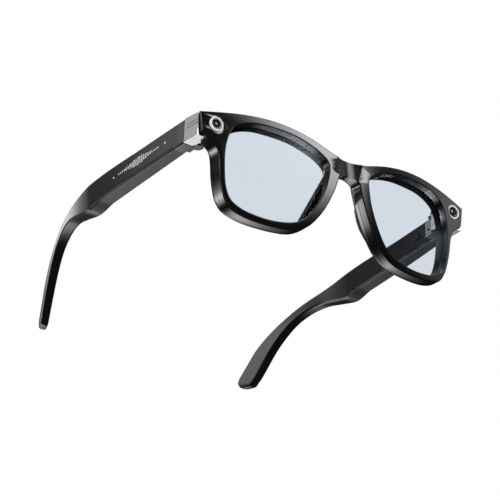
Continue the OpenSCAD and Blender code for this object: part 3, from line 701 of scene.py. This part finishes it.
def temple_pairs():
    """Points of the upper and the lower edge that face each other, from hinge to tip."""
    upper = [(HOOK_Y - 10, top_z(HOOK_Y - 10)), (HOOK_Y, top_z(HOOK_Y))]
    upper += [hook_point(p) for p in HOOK_TOP] + [(TIP_Y, TIP_BACK_R + 1)]
    lower = [(y, top_z(y) - TEMPLE_H - b) for y, b in
             ((HOOK_Y - 16, 0), (HOOK_Y - 11, 0), (HOOK_Y - 4, BULGE), (HOOK_Y + 1, BULGE))]
    lower += [hook_point(p) for p in HOOK_LOW] + [(TIP_Y - TIP_W + 0.1, 1.95)]
    y0 = HINGE_Y + JOINT
    pairs = []
    for k in range(13):
        y = y0 + (HOOK_Y - 11 - y0) * k / 12
        pairs.append((Vector((y, top_z(y))), Vector((y, top_z(y) - TEMPLE_H))))
    for k in range(1, 5):
        y = HOOK_Y - 11 + 10 * k / 5
        pairs.append((Vector((y, top_z(y))), curve_at(lower, 1 + 1.45 * k / 5)))
    keys = [(1.0, 2.45), (1.5, 3.3), (2, 3.95), (3, 4.75), (4, 5.5), (5, 6.2), (6, 6.95),
            (7, 7.75), (8, 8.5), (9, 9.3)]
    for (u0, l0), (u1, l1) in zip(keys, keys[1:]):
        for k in range(6):
            f = k / 6
            pairs.append((curve_at(upper, u0 + (u1 - u0) * f), curve_at(lower, l0 + (l1 - l0) * f)))
    for k in range(9):
        a, b = math.radians(-90 * k / 8), math.radians(-165 + 75 * k / 8)
        pairs.append((Vector((TIP_Y - TIP_BACK_R + TIP_BACK_R * math.cos(a),
                              TIP_BACK_R + TIP_BACK_R * math.sin(a))),
                      Vector((TIP_Y - TIP_W + TIP_FRONT_R + TIP_FRONT_R * math.cos(b),
                              TIP_FRONT_R + TIP_FRONT_R * math.sin(b)))))
    return [(up + Vector((0, crown(up.x))), low) for up, low in pairs]


def temple_solid(name, side):
    """The whole temple as one loft of rounded sections."""
    rows = []
    pairs = temple_pairs()
    ends = [(0.35, 0), (0.1, 0.1), (0, 0.35)]  # inset and distance along of the rounded end
    pairs = [pairs[0]] * 3 + pairs[1:]
    downhill = Vector((1, -math.tan(math.radians(SLOPE))))
    for i, (up, low) in enumerate(pairs):
        shrink, ahead = ends[i] if i < 3 else (0, 0)
        along = downhill * ahead
        tip = max(0, (i - len(pairs) + 9) / 8)
        height = (up - low).length
        radius = 0.95 + 0.35 * min(1, max(0, (up.x - HOOK_Y) / 40)) + 0.3 * tip
        pinch = shrink + 1.2 * (1 - math.sqrt(max(0, 1 - tip ** 2)))
        row = []
        for corner in range(4):
            for step in range(6):
                a = math.radians(90 * (corner + step / 5))
                s_mid = height - radius if corner in (1, 2) else radius
                t_mid = TEMPLE_T - radius if corner > 1 else radius
                s = s_mid - radius * math.cos(a)
                t = t_mid - radius * math.sin(a)
                s = min(max(s, shrink), height - shrink) / height
                q = up.lerp(low, s) + along
                outer, inner = face_x(q.x, 0), face_x(q.x, 1)
                width = outer - inner
                t = (t if t < TEMPLE_T / 2 else t + width - TEMPLE_T) / width
                t = t * (1 - 2 * pinch / width) + pinch / width
                row.append(place(side * (outer + (inner - outer) * t), q.x, q.y))
        rows.append(row)
    piece = sheet_from(name, rows, wrap_rows=False, wrap_columns=True)
    bpy.ops.object.mode_set(mode="EDIT")
    bpy.ops.mesh.select_all(action="DESELECT")
    bpy.ops.mesh.select_mode(type="EDGE")
    bpy.ops.mesh.select_non_manifold()
    bpy.ops.mesh.edge_face_add()
    bpy.ops.mesh.select_all(action="SELECT")
    bpy.ops.mesh.normals_make_consistent(inside=False)
    bpy.ops.object.mode_set(mode="OBJECT")
    return piece


def temple_frame(side):
    """From the temple's own frame to the shared one: x out, y along, z up, at the hinge's top."""
    flip = Matrix.Diagonal((side, 1, 1, 1))
    splay = Matrix.Rotation(math.radians(-SPLAY), 4, "Z")
    slope = Matrix.Rotation(math.radians(-SLOPE), 4, "X")
    corner = Matrix.Translation(place(OUT_X, HINGE_Y, HINGE_TOP))
    return flip @ corner @ (splay @ slope) @ Matrix.Scale(MM, 4)


def temple_block(name, side, low, high):
    """A box in the temple's own frame, in millimetres."""
    low, high = Vector(low), Vector(high)
    bpy.ops.mesh.primitive_cube_add(size=1, location=(low + high) / 2, scale=high - low)
    piece = bpy.context.object
    piece.name = piece.data.name = name
    bpy.ops.object.transform_apply()
    piece.data.transform(temple_frame(side))
    if side < 0:
        piece.data.flip_normals()
    return piece


temple_black = finish_named(
    "temple_black", {"IOR": 1.5, "Coat Roughness": 0.08, "Coat Weight": 0.35},
    polished((0.003, 0.003, 0.0034, 1), (0.005, 0.005, 0.0056, 1), 0.12, 0.06, 2e-6))
cover_black = finish_named(
    "cover_black", {"IOR": 1.5},
    polished((0.006, 0.006, 0.0066, 1), (0.009, 0.009, 0.01, 1), 0.26, 0.08, 2e-6))
ROOM_FROM, ROOM_TO, ROOM_GAP = 8, 72, 0.12  # the stretch that the cover closes, and its seam
SEAM_DROP = 0.3
for side, name in ((-1, "right"), (1, "left")):
    body = "temple_" + name
    shell = temple_solid("temple_moulding_" + name, side)
    cut(shell, temple_block("room", side, (-TEMPLE_T - 10, ROOM_FROM, -TEMPLE_H - 10),
                            (10, ROOM_TO, -TEMPLE_H + COVER_T)))
    bottom = HINGE_TOP - TEMPLE_H
    for z0, z1 in ((bottom + 0.1, bottom + 1.65), (HINGE_TOP - 1.65, HINGE_TOP - 0.2)):
        middle = place(side * PIN_X, HINGE_Y, (z0 + z1) / 2)
        bpy.ops.mesh.primitive_cylinder_add(vertices=48, radius=EAR_R * MM, depth=(z1 - z0) * MM,
                                            location=middle)
        ear = bpy.context.object
        modify(ear, "BEVEL", width=0.3 * MM, segments=3, limit_method="ANGLE")
        cut(shell, ear, "UNION")
        x = sorted((side * (PIN_X + 0.1), side * (OUT_X - TEMPLE_T + 0.6)))
        bridge = block("ear_root", (x[0], HINGE_Y + JOINT, z0), (x[1], HINGE_Y + 6, z1))
        modify(bridge, "BEVEL", width=0.25 * MM, segments=2, limit_method="ANGLE")
        cut(shell, bridge, "UNION")
    modify(shell, "BEVEL", width=0.1 * MM, segments=2, limit_method="ANGLE",
           angle_limit=math.radians(55))
    smooth(shell, 40)
    dress(shell, temple_black)
    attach(shell, body)
    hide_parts("temple_shell_" + name)
    cover = temple_solid("temple_underside_" + name, side)
    kept = temple_block("room", side, (-TEMPLE_T - 10, ROOM_FROM + ROOM_GAP, -TEMPLE_H - 10),
                        (10, ROOM_TO - ROOM_GAP, -TEMPLE_H + COVER_T - SEAM_DROP))
    cut(cover, kept, "INTERSECT")
    modify(cover, "BEVEL", width=0.14 * MM, segments=3, limit_method="ANGLE",
           angle_limit=math.radians(55))
    smooth(cover, 40)
    dress(cover, cover_black)
    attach(cover, body)
    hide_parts("temple_cover_" + name)

# ---------------------------------------------------------------------------------------------
# Everything kept as it is: hinge parts, screws, boards, cells, speakers and contacts, each in
# its own metal, laminate or foil.
def plain_metal(colour, rough):
    def make(start, where):
        lathe = noise(start, where, 3000, 2, (1, 1, 0.2))
        dark = tuple(c * 0.8 for c in colour[:3]) + (1,)
        return {"Base Color": shade(start, lathe, dark, colour), "Roughness": rough + 0.12 * lathe}
    return make


def laminate(start, where):
    tracks = start.node("ShaderNodeTexBrick", {"offset": 0.5}, {"Vector": where, "Scale": 900.0,
                        "Color1": (0.01, 0.09, 0.05, 1), "Color2": (0.015, 0.12, 0.07, 1),
                        "Mortar": (0.03, 0.2, 0.11, 1)})
    return {"Base Color": tracks, "Roughness": 0.35 + 0.2 * noise(start, where, 700)}


def film(start, where):
    lines = start.node("ShaderNodeTexWave", {"bands_direction": "Z"},
                       {"Vector": where, "Scale": 900.0})
    return {"Base Color": shade(start, lines, (0.35, 0.18, 0.04, 1), (0.6, 0.36, 0.1, 1)),
            "Roughness": 0.3 + 0.1 * noise(start, where, 500)}


def print_ink(start, where):
    grain = noise(start, where, 4000, 2)
    return {"Base Color": shade(start, grain, (0.72, 0.72, 0.72, 1), (0.88, 0.88, 0.88, 1)),
            "Roughness": 0.45 + 0.15 * grain}


def milky(start, where):
    cloud = noise(start, where, 500)
    return {"Base Color": shade(start, cloud, (0.75, 0.75, 0.72, 1), (0.85, 0.85, 0.83, 1)),
            "Roughness": 0.4 + 0.1 * cloud}


steel = finish_named("steel", {"Metallic": 1.0}, plain_metal((0.62, 0.62, 0.63, 1), 0.22))
gold = finish_named("gold_plate", {"Metallic": 1.0}, plain_metal((0.85, 0.6, 0.25, 1), 0.2))
foil = finish_named("battery_foil", {"Metallic": 1.0}, plain_metal((0.7, 0.71, 0.73, 1), 0.35))
board = finish_named("circuit_board", {}, laminate)
flex = finish_named("flex_film", {}, film)
white_print = finish_named("white_print", {}, print_ink)
diffuser = finish_named("diffuser", {}, milky)
module_black = finish_named(
    "module_black", {"IOR": 1.5},
    polished((0.01, 0.01, 0.011, 1), (0.02, 0.02, 0.022, 1), 0.4, 0.1, 2e-5))
KEPT = [(satin_metal, ["hinge_leaf_right", "hinge_leaf_left",
                       "temple_hinge_right", "temple_hinge_left"]),
        (steel, ["endpiece_screws", "temple_screws_right", "temple_screws_left", "hinge_pin_right",
                 "hinge_pin_left", "speaker_mesh_right", "speaker_mesh_left", "tip_core_right",
                 "tip_core_left", "bridge_mic"]),
        (gold, ["charge_contacts"]),
        (foil, ["battery_right", "battery_left"]),
        (board, ["camera_board", "light_board", "main_board", "power_board"]),
        (flex, ["brow_flex", "touch_sensor"]),
        (white_print, ["wave_marks"]),
        (diffuser, ["light_guide"]),
        (module_black, ["camera_barrel", "speaker_right", "speaker_left", "temple_mic_right",
                        "temple_mic_left", "button_switch", "power_switch", "charge_pad"])]
for material, names in KEPT:
    for name in names:
        dress(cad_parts[name], material)

# ---------------------------------------------------------------------------------------------
# Controls: the capture button on top of the right temple and the power slider on the inner side
# of the left one, both moulded in matt black with softened edges.
control_black = finish_named(
    "control_black", {"IOR": 1.5},
    polished((0.014, 0.014, 0.015, 1), (0.022, 0.022, 0.024, 1), 0.38, 0.1, 2e-5))
BUTTON_LEN, BUTTON_W, BUTTON_Y, WALL = 9.0, 2.8, 22.0, 1.1
PROUD, INSIDE = 0.5, WALL + 0.2  # how far a cap stands out of its wall, and how far it reaches in
bpy.ops.mesh.primitive_cube_add(size=1, location=(-TEMPLE_T / 2, BUTTON_Y, (PROUD - INSIDE) / 2),
                                scale=(BUTTON_W, BUTTON_LEN, PROUD + INSIDE))
button = bpy.context.object
button.name = button.data.name = "shutter_cap"
bpy.ops.object.transform_apply()
bpy.ops.object.mode_set(mode="EDIT")
bpy.ops.mesh.select_mode(type="EDGE")
bpy.ops.mesh.select_all(action="DESELECT")
bpy.ops.object.mode_set(mode="OBJECT")
for edge in button.data.edges:
    a, b = (button.data.vertices[v].co for v in edge.vertices)
    edge.select = abs(a.z - b.z) > 0.5
bpy.ops.object.mode_set(mode="EDIT")
bpy.ops.mesh.bevel(offset=BUTTON_W / 2 - 0.01, segments=10, affect="EDGES")
bpy.ops.object.mode_set(mode="OBJECT")
modify(button, "BEVEL", width=0.22, segments=3, limit_method="ANGLE",
       angle_limit=math.radians(50))
button.data.transform(temple_frame(-1))
button.data.flip_normals()
smooth(button, 40)
dress(button, control_black)
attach(button, "capture_button")
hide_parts("capture_button")

SLIDER_Y, SLIDER_LEN, SLIDER_Z = 15.0, 3.8, -TEMPLE_H / 2
slider = temple_block("slider_cap", 1, (-TEMPLE_T - PROUD, SLIDER_Y, SLIDER_Z - 1),
                      (-TEMPLE_T + INSIDE, SLIDER_Y + SLIDER_LEN, SLIDER_Z + 1))
for k in range(4):
    y = SLIDER_Y + 0.65 + 0.7 * k
    cut(slider, temple_block("rib", 1, (-TEMPLE_T - 1, y, SLIDER_Z - 2),
                             (-TEMPLE_T - 0.25, y + 0.35, SLIDER_Z + 2)))
modify(slider, "BEVEL", width=0.08 * MM, segments=2, limit_method="ANGLE",
       angle_limit=math.radians(50))
smooth(slider, 40)
dress(slider, control_black)
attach(slider, "power_slider")
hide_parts("power_slider")

# ---------------------------------------------------------------------------------------------
# Studio: a pale floor seen only from above, white surroundings, broad soft lights, and the
# camera low in front, at the wearer's right, looking up.
def floor_paint(start, where):
    cloud = noise(start, where, 3)
    return {"Base Color": shade(start, cloud, (0.5, 0.5, 0.5, 1), (0.53, 0.53, 0.53, 1)),
            "Roughness": 0.8 + 0.05 * noise(start, where, 9)}


floor_pale = finish_named(
    "floor_pale", {"Emission Color": (1, 1, 1, 1), "Emission Strength": 0.55}, floor_paint)
tree = floor_pale.node_tree
start = Signal(tree)
under = start.sum("MAXIMUM", start.node("ShaderNodeNewGeometry", out="Backfacing"),
                  start.node("ShaderNodeLightPath", out="Is Glossy Ray"))
clear = start.node("ShaderNodeBsdfTransparent")
paint = Signal(tree, tree.nodes["Principled BSDF"].outputs[0])
seen = start.node("ShaderNodeMixShader", inputs={0: under, 1: paint, 2: clear})
tree.links.new(seen.socket, tree.nodes["Material Output"].inputs["Surface"])
bpy.ops.mesh.primitive_plane_add(size=4, location=(0, 0, -0.0004))
floor = bpy.context.object
floor.name = "floor"
dress(floor, floor_pale)

world = bpy.data.worlds.new("studio")
bpy.context.scene.world = world
world.use_nodes = True
tree = world.node_tree
start = Signal(tree)
through = start.node("ShaderNodeLightPath", out="Is Transmission Ray")
first = 1 - start.sum("MINIMUM", start.node("ShaderNodeLightPath", out="Glossy Depth"), 1.0)
look = start.sum("MAXIMUM", start.node("ShaderNodeLightPath", out="Is Camera Ray"), through * first)
aim = start.node("ShaderNodeVectorMath", {"operation": "NORMALIZE"},
                 {0: start.node("ShaderNodeTexCoord", out="Generated")})
across = start.node("ShaderNodeSeparateXYZ", inputs={0: aim}, out="X")
height = start.node("ShaderNodeSeparateXYZ", inputs={0: aim}, out="Z")


def edge(value, low, high):
    """Nothing below low and all above high, with a soft change between."""
    return start.node("ShaderNodeMapRange", {"interpolation_type": "SMOOTHSTEP"},
                      {"Value": value, "From Min": low, "From Max": high})


def lobe(direction, tight):
    """A round soft light in one direction."""
    facing = start.node("ShaderNodeVectorMath", {"operation": "DOT_PRODUCT"},
                        {0: aim, 1: Vector(direction).normalized()}, out="Value")
    return start.sum("POWER", start.sum("MAXIMUM", facing, 0.0), float(tight))


horizon = edge(height, -0.1, 0.0) * (1 - edge(height, 0.08, 0.18))
glow = 0.01 + 0.4 * horizon * (1 - edge(across, 0.2, 0.5))
window = edge(height, 0.28, 0.46) * edge(across, 0.08, 0.24) * (1 - edge(across, 0.5, 0.62))
glow = glow + 7.0 * lobe((0.44, -0.72, 0.54), 40) * window
for direction, tight, power in (((0.85, -0.3, 0.43), 40, 0.8), ((-0.62, 0.6, 0.5), 130, 1.2),
                                ((-0.1, 0.89, 0.45), 50, 2.0), ((-0.85, 0.3, 0.4), 60, 2.0),
                                ((-0.75, -0.45, 0.44), 60, 5.0), ((0.0, 0.0, 1.0), 6, 1.1),
                                ((-0.64, 0.76, -0.04), 80, 6.0), ((0.15, 0.75, -0.65), 20, 3.5)):
    glow = glow + power * lobe(direction, tight)
tree.links.new((look + (1 - look) * glow).socket, tree.nodes["Background"].inputs["Color"])


def softbox(name, where, aim, size, power):
    """A rectangular light aimed at a point."""
    lamp = bpy.data.lights.new(name, "AREA")
    lamp.shape, lamp.size, lamp.size_y, lamp.energy = "RECTANGLE", size[0], size[1], power
    holder = bpy.data.objects.new(name, lamp)
    bpy.context.scene.collection.objects.link(holder)
    holder.location = where
    holder.rotation_euler = (Vector(aim) - Vector(where)).to_track_quat("-Z", "Y").to_euler()
    holder.visible_camera = holder.visible_glossy = False


softbox("key", (-0.5, -0.5, 0.6), (0, 0, 0.02), (0.5, 0.5), 1.6)
softbox("side", (-0.8, 0.15, 0.2), (0, 0, 0.02), (0.4, 0.6), 0.8)
softbox("fill", (0.7, -0.4, 0.3), (0, 0, 0.02), (0.6, 0.6), 1)
softbox("top", (0, 0.1, 0.8), (0, 0, 0.02), (0.8, 0.8), 2)

camera = bpy.data.cameras.new("camera")
camera.lens, camera.sensor_width = 145.4, 36
eye = bpy.data.objects.new("camera", camera)
bpy.context.scene.collection.objects.link(eye)
EYE_AT, AZIMUTH, ELEVATION, ROLL = (-0.4741, -0.7152, -0.3838), -33.798, 25.774, 2.482
eye.matrix_world = (Matrix.Translation(EYE_AT) @ Matrix.Rotation(math.radians(AZIMUTH), 4, "Z")
                    @ Matrix.Rotation(math.radians(90 + ELEVATION), 4, "X")
                    @ Matrix.Rotation(math.radians(ROLL), 4, "Z"))
bpy.context.scene.camera = eye
bpy.context.scene.view_settings.view_transform = "Standard"
